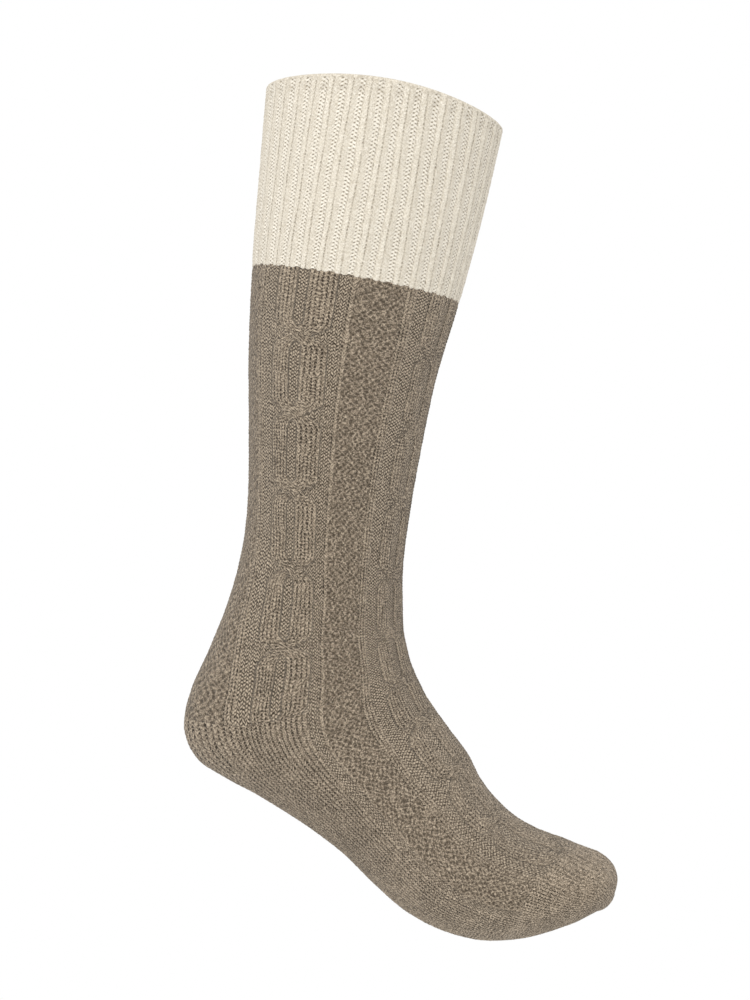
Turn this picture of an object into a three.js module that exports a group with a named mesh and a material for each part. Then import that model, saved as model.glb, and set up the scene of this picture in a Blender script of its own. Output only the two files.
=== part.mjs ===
// A wool knee sock in the shape it takes on a leg with the foot pointed: a ribbed cuff, a leg and instep with
// cables and seed stitch, and a plain heel, sole and toe. Millimetres, +Z up, toe towards +X.
// The origin is the middle of the opening that the leg goes in by.
import * as THREE from "three";

// Sizes over the outside of the knitting.
const LEG_LENGTH = 244.5; // rim to ankle, straight down
const CALF_DEPTH = 120.8; // back to front at the rim
const CALF_WIDTH = 112; // side to side at the rim
const FOOT_LENGTH = 228; // back of the heel to the toe tip
const HEEL_DEPTH = 118; // heel to instep, the deepest section
const FOOT_WIDTH = 93; // across the ball of the foot
const CUFF_HEIGHT = 87.9; // along the leg
const RIM_RISE = 7; // how much higher the rim stands at the sides than at the front and back
const HEEL_DROP = 43.5; // ankle to the heel's first row at the back
const HEEL_SIDE_DROP = 55.5; // the same at the sides, where the instep starts too
const HEEL_END_DROP = 83.3; // ankle to the sole's first row
const TOE_LENGTH = 41.5; // the plain toe at the sides and under the foot
const TOE_TOP_LENGTH = 24; // the same over the toes
const KNIT_THICKNESS = 2.2; // of the plain knitting
const SEAM_GAP = 0.32; // between one piece of knitting and the next
const HEEL_SPREAD = 36; // degrees: how much wider the wales are round the back of the heel
const SPREAD_LENGTH = 45; // from the ankle to the full spread
const SPREAD_END = 60; // from the ankle to where the spread begins to fade
const SPREAD_FADE = 40; // over which it fades

// Relief of the stitches above the plain knitting.
const RIB_RISE = 0.9; // the cuff's knit columns
const ROPE_RISE = 1.0; // the cables' ropes
const EDGE_RISE = 0.55; // the knit columns beside the seed stitch
const SEED_RISE = 0.15; // the seed stitch
const PURL_SINK = 0.6; // the purl channels

// Knitting. A round is one trip round the sock, and its stitches are counted from the near side, towards the toe.
const RIB_REPEAT = 3; // stitches: two knit and one purl
const RIB_COUNT = 36;
const RIB_FIRST_STITCH = 2; // a rib's first knit stitch, from the near seed panel's edge
const ROUND = RIB_REPEAT * RIB_COUNT;
const CABLE_START = 31; // cuff to the first crossing of the ropes
const CABLE_REPEAT = 37.4; // from one crossing to the next
const CABLE_CROSSING = 9; // half the length over which the ropes cross
const PATTERN_PHASE = 15.9; // degrees from the near side to the middle of its seed panel
const PANELS = [
  { name: "seed", stitches: 8, rise: SEED_RISE },
  { name: "edge", stitches: 2, rise: EDGE_RISE },
  { name: "purl", stitches: 3, rise: -PURL_SINK },
  { name: "rope", stitches: 4, rise: ROPE_RISE },
  { name: "channel", stitches: 2, rise: -PURL_SINK },
  { name: "rope", stitches: 5, rise: ROPE_RISE },
  { name: "purl", stitches: 2, rise: -PURL_SINK },
  { name: "edge", stitches: 1, rise: EDGE_RISE },
];
const PANEL_ROUND = PANELS.reduce((sum, p) => sum + p.stitches, 0);
const REPEATS = ROUND / PANEL_ROUND;
const PANEL_SHOULDER = 0.3; // stitches from a panel's edge to its full height
const INSTEP_FIRST_STITCH = -3; // the instep starts with the purl column before the near seed panel
const INSTEP_STITCHES = ROUND / 2;

// The leg, from the rim to the ankle. ahead and down are shares of LEG_LENGTH, depth of CALF_DEPTH and width of
// CALF_WIDTH. lean is how far the section's front dips, drift how far its side wales move forward and gather how
// far the wales a quarter of the way forward and back draw in to the side, in degrees. taper makes the section
// narrower towards the front.
const LEG = [
  { ahead: 0, down: 0, lean: 9.3, depth: 0.985, width: 1, taper: 0.05, drift: 0, gather: 3.3 },
  { ahead: -0.03, down: 0.19, lean: 9.5, depth: 0.927, width: 0.95, taper: 0.06, drift: 0, gather: 1 },
  { ahead: -0.059, down: 0.355, lean: 10, depth: 0.863, width: 0.89, taper: 0.07, drift: 0, gather: -1 },
  { ahead: -0.086, down: 0.518, lean: 8.5, depth: 0.779, width: 0.81, taper: 0.07, drift: 0, gather: -2 },
  { ahead: -0.102, down: 0.675, lean: 7.4, depth: 0.711, width: 0.73, taper: 0.06, drift: -0.7, gather: 0 },
  { ahead: -0.115, down: 0.815, lean: 6.8, depth: 0.666, width: 0.66, taper: 0.04, drift: 0.2, gather: 1.2 },
  { ahead: -0.127, down: 0.914, lean: 5.6, depth: 0.665, width: 0.62, taper: 0.02, drift: 2.8, gather: 3 },
  { ahead: -0.141, down: 1, lean: 0, depth: 0.715, width: 0.605, taper: 0, drift: 6.2, gather: 5 },
];

// The foot, from below the ankle to the closed end under the toes. ahead and down are shares of FOOT_LENGTH from
// the ankle, depth of HEEL_DEPTH, and width and sway, the lean towards the big toe, of FOOT_WIDTH.
const FOOT = [
  { ahead: -0.021, down: 0.086, lean: -6.4, depth: 0.825, width: 0.74, taper: 0, drift: 10, gather: 6.6, sway: 0 },
  { ahead: -0.036, down: 0.147, lean: -11, depth: 0.922, width: 0.745, taper: 0, drift: 13, gather: 7.2, sway: 0 },
  { ahead: -0.041, down: 0.204, lean: -16, depth: 0.994, width: 0.75, taper: 0, drift: 13, gather: 6.4, sway: 0 },
  { ahead: -0.022, down: 0.253, lean: -20.8, depth: 0.99, width: 0.76, taper: 0.02, drift: 8, gather: 5.6, sway: 0 },
  { ahead: 0.015, down: 0.288, lean: -24.5, depth: 0.916, width: 0.77, taper: 0.04, drift: 1.5, gather: 4.8, sway: 0 },
  { ahead: 0.058, down: 0.319, lean: -30.2, depth: 0.823, width: 0.785, taper: 0.07, drift: -4.5, gather: 4.4, sway: 0 },
  { ahead: 0.113, down: 0.361, lean: -39.5, depth: 0.74, width: 0.8, taper: 0.1, drift: -10, gather: 4.4, sway: 0 },
  { ahead: 0.176, down: 0.419, lean: -46.7, depth: 0.686, width: 0.83, taper: 0.12, drift: -14.5, gather: 5, sway: 0 },
  { ahead: 0.229, down: 0.477, lean: -53, depth: 0.672, width: 0.88, taper: 0.13, drift: -15, gather: 5, sway: 0 },
  { ahead: 0.275, down: 0.531, lean: -59.2, depth: 0.64, width: 0.935, taper: 0.12, drift: -15, gather: 5, sway: 0.005 },
  { ahead: 0.326, down: 0.571, lean: -66, depth: 0.603, width: 0.98, taper: 0.1, drift: -15.5, gather: 4.5, sway: 0.01 },
  { ahead: 0.389, down: 0.604, lean: -71, depth: 0.543, width: 1, taper: 0.08, drift: -16, gather: 4, sway: 0.015 },
  { ahead: 0.444, down: 0.619, lean: -72, depth: 0.487, width: 0.985, taper: 0.06, drift: -14.5, gather: 3, sway: 0.025 },
  { ahead: 0.496, down: 0.625, lean: -69.3, depth: 0.441, width: 0.94, taper: 0.04, drift: -13, gather: 2, sway: 0.04 },
  { ahead: 0.542, down: 0.629, lean: -63.7, depth: 0.392, width: 0.87, taper: 0.02, drift: -11.5, gather: 1, sway: 0.055 },
  { ahead: 0.578, down: 0.63, lean: -59, depth: 0.35, width: 0.79, taper: 0, drift: -10, gather: 0, sway: 0.07 },
  { ahead: 0.603, down: 0.636, lean: -53, depth: 0.295, width: 0.69, taper: 0, drift: -9, gather: 0, sway: 0.08 },
  { ahead: 0.618, down: 0.643, lean: -47, depth: 0.222, width: 0.56, taper: 0, drift: -8, gather: 0, sway: 0.085 },
  { ahead: 0.628, down: 0.651, lean: -42, depth: 0.12, width: 0.42, taper: 0, drift: -7, gather: 0, sway: 0.085 },
];

// Rows of each piece's mesh, from its first row of knitting to its last.
const CUFF_ROWS = 4;
const LEG_ROWS = 24;
const HEEL_ROWS = 8;
const INSTEP_ROWS = 18;
const SOLE_ROWS = 12;
const TOE_ROWS = 8;
const INNER_STEP = 2; // columns of the outer face for each one of the inner face

const rad = THREE.MathUtils.degToRad;
const lerp = THREE.MathUtils.lerp;

// The sections in millimetres, with the length of the sock's own line from the rim to each.
function sectionTable() {
  const ankle = LEG[LEG.length - 1];
  const rows = LEG.map((row) => ({
    x: row.ahead * LEG_LENGTH,
    z: -row.down * LEG_LENGTH,
    lean: row.lean,
    depth: row.depth * CALF_DEPTH,
    width: row.width * CALF_WIDTH,
    taper: row.taper,
    drift: row.drift,
    gather: row.gather,
    sway: 0,
  }));
  for (const row of FOOT) {
    rows.push({
      x: ankle.ahead * LEG_LENGTH + row.ahead * FOOT_LENGTH,
      z: -ankle.down * LEG_LENGTH - row.down * FOOT_LENGTH,
      lean: row.lean,
      depth: row.depth * HEEL_DEPTH,
      width: row.width * FOOT_WIDTH,
      taper: row.taper,
      drift: row.drift,
      gather: row.gather,
      sway: row.sway * FOOT_WIDTH,
    });
  }
  let along = 0;
  rows.forEach((row, i) => {
    if (i > 0) along += Math.hypot(row.x - rows[i - 1].x, row.z - rows[i - 1].z);
    row.along = along;
  });
  return rows;
}

const TABLE = sectionTable();
const ANKLE = TABLE[LEG.length - 1].along;
const TIP = TABLE[TABLE.length - 1].along;

// One column of the table at a place along the sock, on a smooth curve through its rows.
function smooth(column, along) {
  const last = TABLE.length - 1;
  let i = 0;
  while (i < last - 1 && TABLE[i + 1].along < along) i += 1;
  const at = (k) => TABLE[Math.min(Math.max(k, 0), last)];
  const slope = (k) => {
    const [a, b] = [at(k - 1), at(k + 1)];
    return (b[column] - a[column]) / (b.along - a.along);
  };
  const step = at(i + 1).along - at(i).along;
  const t = (along - at(i).along) / step;
  const [t2, t3] = [t * t, t * t * t];
  return (
    (2 * t3 - 3 * t2 + 1) * at(i)[column] +
    (t3 - 2 * t2 + t) * step * slope(i) +
    (3 * t2 - 2 * t3) * at(i + 1)[column] +
    (t3 - t2) * step * slope(i + 1)
  );
}

// The angle round a section, 0 on the near side and 90 degrees at the front, of a place in the round.
function angleOf(stitch, along) {
  const even = rad(PATTERN_PHASE + ((stitch - PANELS[0].stitches / 2) * 360) / ROUND);
  const below = along - ANKLE;
  const ease = THREE.MathUtils.smoothstep;
  const spread = ease(below, 0, SPREAD_LENGTH) - ease(below, SPREAD_END, SPREAD_END + SPREAD_FADE);
  const back = Math.min(0, Math.sin(even)) ** 4 * Math.cos(even);
  const drawn = rad(smooth("drift", along)) * Math.cos(even) - rad(smooth("gather", along)) * Math.sin(2 * even);
  return even + drawn + rad(HEEL_SPREAD) * spread * back;
}

// A point of the knitting: rise is its height above the plain outer face.
function pointOf(stitch, along, rise) {
  const angle = angleOf(stitch, along);
  const lean = rad(smooth("lean", along));
  const [sin, cos] = [Math.sin(angle), Math.cos(angle)];
  const front = (smooth("depth", along) / 2 + rise) * sin;
  const side = (smooth("width", along) / 2 + rise) * cos * (1 - smooth("taper", along) * sin);
  const lift = RIM_RISE * cos * cos * Math.max(0, 1 - along / CUFF_HEIGHT) ** 2;
  return new THREE.Vector3(
    smooth("x", along) + front * Math.cos(lean) + lift * Math.sin(lean),
    -side - smooth("sway", along),
    smooth("z", along) - front * Math.sin(lean) + lift * Math.cos(lean),
  );
}

// How far a piece's edge is moved along the sock or round it to leave half the gap.
function alongGap(stitch, along) {
  const step = 0.5;
  const length = pointOf(stitch, along + step, 0).distanceTo(pointOf(stitch, along - step, 0));
  return (SEAM_GAP / 2) * ((2 * step) / length);
}
function roundGap(stitch, along) {
  const step = 0.5;
  const length = pointOf(stitch + step, along, 0).distanceTo(pointOf(stitch - step, along, 0));
  return (SEAM_GAP / 2) * ((2 * step) / length);
}

// Where the pieces meet, as a place along the sock for each place in the round.
const frontness = (stitch, along) => Math.sin(angleOf(stitch, along));
const cuffEnd = () => CUFF_HEIGHT;
const heelStart = (stitch) => {
  const side = ANKLE + HEEL_SIDE_DROP;
  return lerp(side, ANKLE + HEEL_DROP, Math.max(0, -frontness(stitch, side)) ** 2);
};
const soleStart = () => ANKLE + HEEL_END_DROP;
const toeStart = (stitch) => {
  const side = TIP - TOE_LENGTH;
  return lerp(side, TIP - TOE_TOP_LENGTH, Math.max(0, frontness(stitch, side)) ** 1.5);
};

// Relief of the cabled pattern. At a crossing the ropes close over the channel between them.
function panelRise(panel, along) {
  if (panel.name !== "channel") return panel.rise;
  const turn = Math.max(0, Math.round((along - CUFF_HEIGHT - CABLE_START) / CABLE_REPEAT));
  const apart = Math.abs(along - CUFF_HEIGHT - CABLE_START - turn * CABLE_REPEAT);
  const closed = apart < CABLE_CROSSING ? Math.cos((apart / CABLE_CROSSING) * (Math.PI / 2)) : 0;
  return lerp(panel.rise, ROPE_RISE, closed);
}

// Columns of a patterned mesh: two for each panel, at its full height. stitch is its place in the round.
function patternColumns(firstStitch, stitches) {
  const columns = [];
  for (let repeat = -1; repeat <= REPEATS; repeat += 1) {
    let start = repeat * PANEL_ROUND;
    for (const panel of PANELS) {
      columns.push({ stitch: start + PANEL_SHOULDER, panel });
      columns.push({ stitch: start + panel.stitches - PANEL_SHOULDER, panel });
      start += panel.stitches;
    }
  }
  return columns.filter((c) => c.stitch > firstStitch && c.stitch < firstStitch + stitches);
}

// Columns of the cuff: the two knit stitches of each rib stand up, and the purl stitch lies between ribs.
function ribColumns() {
  const columns = [];
  for (let rib = 0; rib < RIB_COUNT; rib += 1) {
    const start = RIB_FIRST_STITCH + rib * RIB_REPEAT;
    const knit = RIB_REPEAT - 1;
    columns.push({ stitch: start + PANEL_SHOULDER, rise: RIB_RISE });
    columns.push({ stitch: start + knit - PANEL_SHOULDER, rise: RIB_RISE });
    columns.push({ stitch: start + knit + PANEL_SHOULDER, rise: -PURL_SINK });
    columns.push({ stitch: start + RIB_REPEAT - PANEL_SHOULDER, rise: -PURL_SINK });
  }
  return columns;
}

// Columns of a piece that covers only part of the round, with one more on each of its two side edges.
function patchColumns(firstStitch) {
  const inside = patternColumns(firstStitch, INSTEP_STITCHES);
  const first = { stitch: firstStitch, panel: inside[0].panel, inset: 1 };
  const last = { stitch: firstStitch + INSTEP_STITCHES, panel: inside[inside.length - 1].panel, inset: -1 };
  return [first, ...inside, last];
}

// Collects vertices and triangles and gives the closed geometry.
class Shell {
  constructor() {
    this.points = [];
    this.triangles = [];
  }
  point(p) {
    this.points.push(p.x, p.y, p.z);
    return this.points.length / 3 - 1;
  }
  triangle(a, b, c, flip) {
    this.triangles.push(...(flip ? [a, c, b] : [a, b, c]));
  }
  // A grid of points as faces: grid[row][column].
  face(grid, wraps, flip) {
    const columns = grid[0].length;
    for (let r = 0; r + 1 < grid.length; r += 1) {
      for (let c = 0; c < columns - (wraps ? 0 : 1); c += 1) {
        const d = (c + 1) % columns;
        this.triangle(grid[r][c], grid[r + 1][c], grid[r + 1][d], flip);
        this.triangle(grid[r][c], grid[r + 1][d], grid[r][d], flip);
      }
    }
  }
  // A strip between a fine line of points and a coarser one. beside gives the fine point beside each coarse one.
  strip(fine, coarse, beside, wraps, flip) {
    const spans = wraps ? coarse.length : coarse.length - 1;
    for (let s = 0; s < spans; s += 1) {
      const next = (s + 1) % coarse.length;
      const stop = next === 0 ? fine.length : beside[next];
      for (let k = beside[s]; k < stop; k += 1) {
        this.triangle(coarse[s], fine[k], fine[(k + 1) % fine.length], flip);
      }
      this.triangle(coarse[s], fine[stop % fine.length], coarse[next], flip);
    }
  }
  // A ring closed by triangles round its middle.
  cap(ring, flip) {
    const middle = new THREE.Vector3();
    for (const i of ring) middle.add(new THREE.Vector3().fromArray(this.points, 3 * i));
    const centre = this.point(middle.divideScalar(ring.length));
    ring.forEach((a, i) => this.triangle(centre, a, ring[(i + 1) % ring.length], flip));
  }
  geometry() {
    const geometry = new THREE.BufferGeometry();
    geometry.setAttribute("position", new THREE.Float32BufferAttribute(this.points, 3));
    geometry.setIndex(this.triangles);
    geometry.computeVertexNormals();
    return geometry;
  }
}

// The two faces of a piece of knitting as grids of points. start and end give where its first and last rows lie,
// and rise the relief of its outer face.
function faces(shell, { columns, rows, start, end, rise, closed }) {
  const offset = columns[0].inset ? 1 : 0;
  const beside = columns.map((_, i) => i).filter((i) => columns[i].inset || (i - offset) % INNER_STEP === 0);
  const grid = (depth, list, cut) =>
    Array.from({ length: rows }, (_, r) =>
      list.map((column) => {
        const share = r / (rows - 1);
        const raw = column.stitch;
        const along0 = start(raw) + (start(raw) > 0 ? alongGap(raw, start(raw)) : 0);
        const along1 = end(raw) - (closed ? cut : alongGap(raw, end(raw)));
        const along = lerp(along0, along1, share);
        const stitch = raw + (column.inset ? column.inset * roundGap(raw, along) : 0);
        return shell.point(pointOf(stitch, along, depth ?? rise(column, along)));
      }),
    );
  const outer = grid(null, columns, 0);
  const inner = grid(
    -KNIT_THICKNESS,
    beside.map((i) => columns[i]),
    KNIT_THICKNESS,
  );
  return { outer, inner, beside };
}

// A piece that goes all the way round the sock, open at both ends or closed at its last row.
function tube(options) {
  const shell = new Shell();
  const { outer, inner, beside } = faces(shell, options);
  const last = options.rows - 1;
  shell.face(outer, true, false);
  shell.face(inner, true, true);
  shell.strip(outer[0], inner[0], beside, true, false);
  if (options.closed) {
    shell.cap(outer[last], true);
    shell.cap(inner[last], false);
  } else {
    shell.strip(outer[last], inner[last], beside, true, true);
  }
  return shell.geometry();
}

// A piece that covers part of the round, with four edges.
function patch(options) {
  const shell = new Shell();
  const { outer, inner, beside } = faces(shell, options);
  const last = options.rows - 1;
  const side = (grid, first) => grid.map((row) => row[first ? 0 : row.length - 1]);
  shell.face(outer, false, false);
  shell.face(inner, false, true);
  const each = outer.map((_, row) => row);
  shell.strip(outer[0], inner[0], beside, false, false);
  shell.strip(outer[last], inner[last], beside, false, true);
  shell.strip(side(outer, true), side(inner, true), each, false, true);
  shell.strip(side(outer, false), side(inner, false), each, false, false);
  return shell.geometry();
}

const patterned = (column, along) => panelRise(column.panel, along);
const plain = () => 0;
const allRound = patternColumns(INSTEP_FIRST_STITCH, ROUND);
const instepColumns = patchColumns(INSTEP_FIRST_STITCH);
const heelColumns = patchColumns(INSTEP_FIRST_STITCH + INSTEP_STITCHES);

const PIECES = {
  cuff: tube({ columns: ribColumns(), rows: CUFF_ROWS, start: () => 0, end: cuffEnd, rise: (c) => c.rise }),
  leg: tube({ columns: allRound, rows: LEG_ROWS, start: cuffEnd, end: heelStart, rise: patterned }),
  heel: patch({ columns: heelColumns, rows: HEEL_ROWS, start: heelStart, end: soleStart, rise: plain }),
  instep: patch({ columns: instepColumns, rows: INSTEP_ROWS, start: heelStart, end: toeStart, rise: patterned }),
  sole: patch({ columns: heelColumns, rows: SOLE_ROWS, start: soleStart, end: toeStart, rise: plain }),
  toe: tube({ columns: allRound, rows: TOE_ROWS, start: toeStart, end: () => TIP, rise: plain, closed: true }),
};

const CREAM_WOOL = new THREE.MeshStandardMaterial({ color: 0xe2dac9, roughness: 0.95, metalness: 0 });
const TAUPE_WOOL = new THREE.MeshStandardMaterial({ color: 0x8a7d6c, roughness: 0.95, metalness: 0 });

const sock = new THREE.Group();
for (const [name, geometry] of Object.entries(PIECES)) {
  const mesh = new THREE.Mesh(geometry, name === "cuff" ? CREAM_WOOL : TAUPE_WOOL);
  mesh.name = name;
  sock.add(mesh);
}

export default sock;
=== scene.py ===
"""A knitted wool knee sock with every stitch raised on its surface, and the soft studio it stands in."""

import math
from collections import namedtuple

import bpy
import numpy as np
from bpy.props import FloatProperty, FloatVectorProperty, IntProperty, PointerProperty
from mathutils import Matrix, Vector


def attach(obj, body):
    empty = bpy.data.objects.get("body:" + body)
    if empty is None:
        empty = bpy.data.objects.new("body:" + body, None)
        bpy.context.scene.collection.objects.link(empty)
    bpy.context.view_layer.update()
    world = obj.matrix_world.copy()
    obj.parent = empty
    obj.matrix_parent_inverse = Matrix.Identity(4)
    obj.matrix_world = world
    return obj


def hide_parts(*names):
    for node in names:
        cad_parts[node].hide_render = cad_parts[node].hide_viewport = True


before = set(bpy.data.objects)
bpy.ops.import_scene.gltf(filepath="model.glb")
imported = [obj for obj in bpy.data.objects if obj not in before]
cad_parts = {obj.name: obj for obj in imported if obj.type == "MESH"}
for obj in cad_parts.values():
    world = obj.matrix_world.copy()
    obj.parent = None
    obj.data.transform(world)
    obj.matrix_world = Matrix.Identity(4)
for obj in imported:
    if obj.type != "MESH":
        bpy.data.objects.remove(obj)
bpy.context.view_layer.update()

bl_info = {
    "name": "Knitted Knee Sock",
    "version": (1, 0, 0),
    "blender": (4, 5, 0),
    "location": "View3D > Sidebar > Sock",
    "description": "Knits a cabled wool knee sock stitch by stitch over its CAD solids",
    "category": "Object",
}

MM = 0.001

# The sections, from the rim to the closed toe. ahead and down are shares of the leg's length, or of the
# foot's length from the ankle on. depth and width are shares of the calf's, or of the heel's depth and the
# foot's width. lean is how far a section's front dips, drift how far its side wales move forward and gather
# how far the wales in front of and behind them draw in to the side, in degrees. taper narrows it to the
# front, and sway is how far it lies towards the big toe, as a share of the width.
SECTION_COLUMNS = ("ahead", "down", "lean", "depth", "width", "taper", "drift", "gather", "sway")
LEG_SECTIONS = (
    (0, 0, 9.3, 0.985, 1, 0.05, 0, 3.3, 0),
    (-0.03, 0.19, 9.5, 0.927, 0.95, 0.06, 0, 1, 0),
    (-0.059, 0.355, 10, 0.863, 0.89, 0.07, 0, -1, 0),
    (-0.086, 0.518, 8.5, 0.779, 0.81, 0.07, 0, -2, 0),
    (-0.102, 0.675, 7.4, 0.711, 0.73, 0.06, -0.7, 0, 0),
    (-0.115, 0.815, 6.8, 0.666, 0.66, 0.04, 0.2, 1.2, 0),
    (-0.127, 0.914, 5.6, 0.665, 0.62, 0.02, 2.8, 3, 0),
    (-0.141, 1, 0, 0.715, 0.605, 0, 6.2, 5, 0),
)
FOOT_SECTIONS = (
    (-0.021, 0.086, -6.4, 0.825, 0.74, 0, 10, 6.6, 0),
    (-0.036, 0.147, -11, 0.922, 0.745, 0, 13, 7.2, 0),
    (-0.041, 0.204, -16, 0.994, 0.75, 0, 13, 6.4, 0),
    (-0.022, 0.253, -20.8, 0.99, 0.76, 0.02, 8, 5.6, 0),
    (0.015, 0.288, -24.5, 0.916, 0.77, 0.04, 1.5, 4.8, 0),
    (0.058, 0.319, -30.2, 0.823, 0.785, 0.07, -4.5, 4.4, 0),
    (0.113, 0.361, -39.5, 0.74, 0.8, 0.1, -10, 4.4, 0),
    (0.176, 0.419, -46.7, 0.686, 0.83, 0.12, -14.5, 5, 0),
    (0.229, 0.477, -53, 0.672, 0.88, 0.13, -15, 5, 0),
    (0.275, 0.531, -59.2, 0.64, 0.935, 0.12, -15, 5, 0.005),
    (0.326, 0.571, -66, 0.603, 0.98, 0.1, -15.5, 4.5, 0.01),
    (0.389, 0.604, -71, 0.543, 1, 0.08, -16, 4, 0.015),
    (0.444, 0.619, -72, 0.487, 0.985, 0.06, -14.5, 3, 0.025),
    (0.496, 0.625, -69.3, 0.441, 0.94, 0.04, -13, 2, 0.04),
    (0.542, 0.629, -63.7, 0.392, 0.87, 0.02, -11.5, 1, 0.055),
    (0.578, 0.63, -59, 0.35, 0.79, 0, -10, 0, 0.07),
    (0.603, 0.636, -53, 0.295, 0.69, 0, -9, 0, 0.08),
    (0.618, 0.643, -47, 0.222, 0.56, 0, -8, 0, 0.085),
    (0.628, 0.651, -42, 0.12, 0.42, 0, -7, 0, 0.085),
)

# Charts of the round: each group's name, its kind of stitch, how many stitches it takes, and how many wales
# of knitting show across it. A chart starts at its first stitch.
KNIT, PURL, SEED = range(3)
RIB_FIRST = 2
RIB_CHART = (("column", KNIT, 2, 2), ("valley", PURL, 1, 1))
CABLE_FIRST = 0
CABLE_CHART = (
    ("seed", SEED, 8, 8),
    ("edge", KNIT, 2, 3),
    ("purl", PURL, 3, 4),
    ("left rope", KNIT, 4, 5),
    ("channel", PURL, 2, 3),
    ("right rope", KNIT, 5, 6),
    ("purl", PURL, 2, 3),
    ("edge", KNIT, 1, 1),
)
PLAIN_CHART = (("plain", KNIT, 1, 1),)

ROUND = 108
HALF_ROUND = ROUND // 2
SEED_CENTRE = 4
INSTEP_FIRST = -3
SEED_NUMBER = 11
CREAM_FIBRE_SEED = 3
TAUPE_FIBRE_SEED = 5

# How far the pattern is turned round the sock, in degrees.
PATTERN_PHASE = 15.9

# How fine the meshes are: points across a stitch, and along a row of the leg and foot and of the cuff.
COLUMNS_PER_STITCH = 4
POINTS_PER_ROW = 3
CUFF_POINTS_PER_ROW = 4
ALL_ROUND = np.arange(ROUND * COLUMNS_PER_STITCH) / COLUMNS_PER_STITCH + INSTEP_FIRST

# Over how many rows the relief sinks to a flat seam, how far past its edge a stitch is read, in stitches,
# and how far the leg reaches up into the cuff.
SEAM_ROWS = 2.5
NUDGE = 1e-4
LEG_OVERLAP = 0.3 * MM

# How sharply the heel's first row rises to the back, and the toe's runs down over the toes.
HEEL_CURVE = 2
TOE_CURVE = 1.5

# Round the back of the heel the wales are wider: by how many degrees they move, over what length below the
# ankle that begins, and where and over what length it fades.
HEEL_SPREAD = 36
SPREAD_LENGTH = 45 * MM
SPREAD_END = 60 * MM
SPREAD_FADE = 40 * MM

# Down the foot the cables get flatter, lighter and softer: from where below the ankle and over what length.
FOOT_START = 70 * MM
FOOT_FADE = 70 * MM
FOOT_FLATNESS = 0.5
FOOT_LIGHT = 0.08

# The plain knitting gets lighter to the toe: from where before the tip, over what length, and by how much
# all round and on top.
TOE_START = 140 * MM
TOE_FADE = 100 * MM
PLAIN_LIGHT = 0.94
TOE_LIGHT = 0.3
TOE_TOP_LIGHT = 0.25

# For knit, purl and seed stitches: how much light their painted shade leaves, and how many rows their
# middles dip.
KIND_LIGHT = (0.95, 0.9, 0.95)
KIND_DIP = (0.5, -0.2, 0.0)

# How rounded a group of stitches and the legs of a knit stitch are. A smaller number is squarer.
GROUP_ROUNDING = 0.5
LEG_ROUNDING = 0.7

# How much higher a crossing's upper rope and how much lower its other one lies, as shares of their height.
UPPER_ROPE = 0.5
UNDER_ROPE = 0.2

# Over how many rows a purl ridge wanders to a new place, and after how many the chance numbers repeat.
RIDGE_ROWS = 3
LUCK_ROWS = 512

# The small holes between a rib's two wales: half their width in stitches and how much painted shade darkens
# them. Then half the height of the dent where a valley starts, in rows.
SEAM_HALF = 0.1
SEAM_SHADE = 0.35
DENT_HALF_ROWS = 0.9

# Sideways waves of the wales: each one's length and its turns in a round, and their size in stitches.
WAVES = ((9 * MM, 15), (23 * MM, -6))
WAVE_SIZE = 0.07

# Rows of points on the inner faces, and how much light the painted shade on those faces leaves.
LEG_INNER_ROWS = 20
CUFF_INNER_ROWS = 14
TOE_INNER_ROWS = 10
INNER_LIGHT = 0.7
CUFF_INNER_LIGHT = 0.8

# The cuff's last rows, and how much relief they keep.
CUFF_END_ROWS = 2
CUFF_END_RELIEF = 0.6

# The rolled rim: its points from side to side, how far it bulges, starts and stands up as shares of its
# radius, how much of the ribs' height it and the inner face keep, and the row labels of its ends.
BEAD_POINTS = 7
BEAD_BULGE = 0.3
BEAD_START = 0.4
BEAD_HEIGHT = 1.1
BEAD_RIB = 0.3
INNER_RIB = 0.4
RIM_MARKS = (-1.6, -0.2)

# The toe's end: points and rows from its sides to the seam that closes it, and how far before the tip the
# inner face ends, in thicknesses of the knitting.
CLOSING_STEPS = 7
CLOSING_ROWS = 2
TOE_CUT = 3

# At how many places of an edge, and in how many steps along, the length of a piece is measured.
MEASURED_PLACES = 9
MEASURED_STEPS = 40

# The fibres that stand off the wool: where they begin under the rim, the ranges of their length and of how
# far they stand up, and how their lower and upper parts run.
FIBRE_START = 2 * MM
FIBRE_REACH = (0.4, 1.0)
FIBRE_STAND = (0.25, 0.75)
# How much light the painted shade on the fibres leaves.
FIBRE_LIGHT = 0.9
ROOT_PART = 0.6
ROOT_LEAN = 0.45
BEND_WIDTH = 0.7
TIP_PART = 0.5
TIP_STAND = 0.3
TIP_LEAN = 0.8
TIP_CURL = 0.3

# The patterns of the wool: how far a dash leans in rows, how many columns of strokes a wale has, how many
# bumps of seed stitch a wale and a row have, and what sets the two random shifts of those bumps apart.
DASH_LEAN = 0.4
STROKE_COLUMNS = 1.5
BUMPS_PER_WALE = 0.75
BUMPS_PER_ROW = 0.5
SLIDE_START = 40

# How much painted shade darkens the hollows of the knitting, and how dark the heather's specks are.
DASH_DEPTH = 1.15
CORE_DEPTH = 0.5
COLUMN_GAP_DEPTH = 0.6
SEED_DEPTH = 0.74
SEED_STROKE_DEPTH = 0.13
SPECK_DEPTH = 0.4

# How much painted highlight the raised yarn gets, how bright the painted highlight on an unbroken stroke is,
# and how sharp its bright edge.
KNIT_HIGHLIGHT = 0.4
PURL_HIGHLIGHT = 1.0
HOLE_HIGHLIGHT = 0.8
HIGHLIGHT_LOSS = 0.03
STROKE_HIGHLIGHT = 1.2
HIGHLIGHT_EDGE = 1.5

# The wool's tone between its dark and light shades, and how far stitches, fibres and grain stray from it.
MIDDLE_TONE = 0.42
SLIT_TONE = 0.04
OWN_TONE = 0.3
FIBRE_TONE = 0.5
GRAIN_TONE = 0.6

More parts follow.
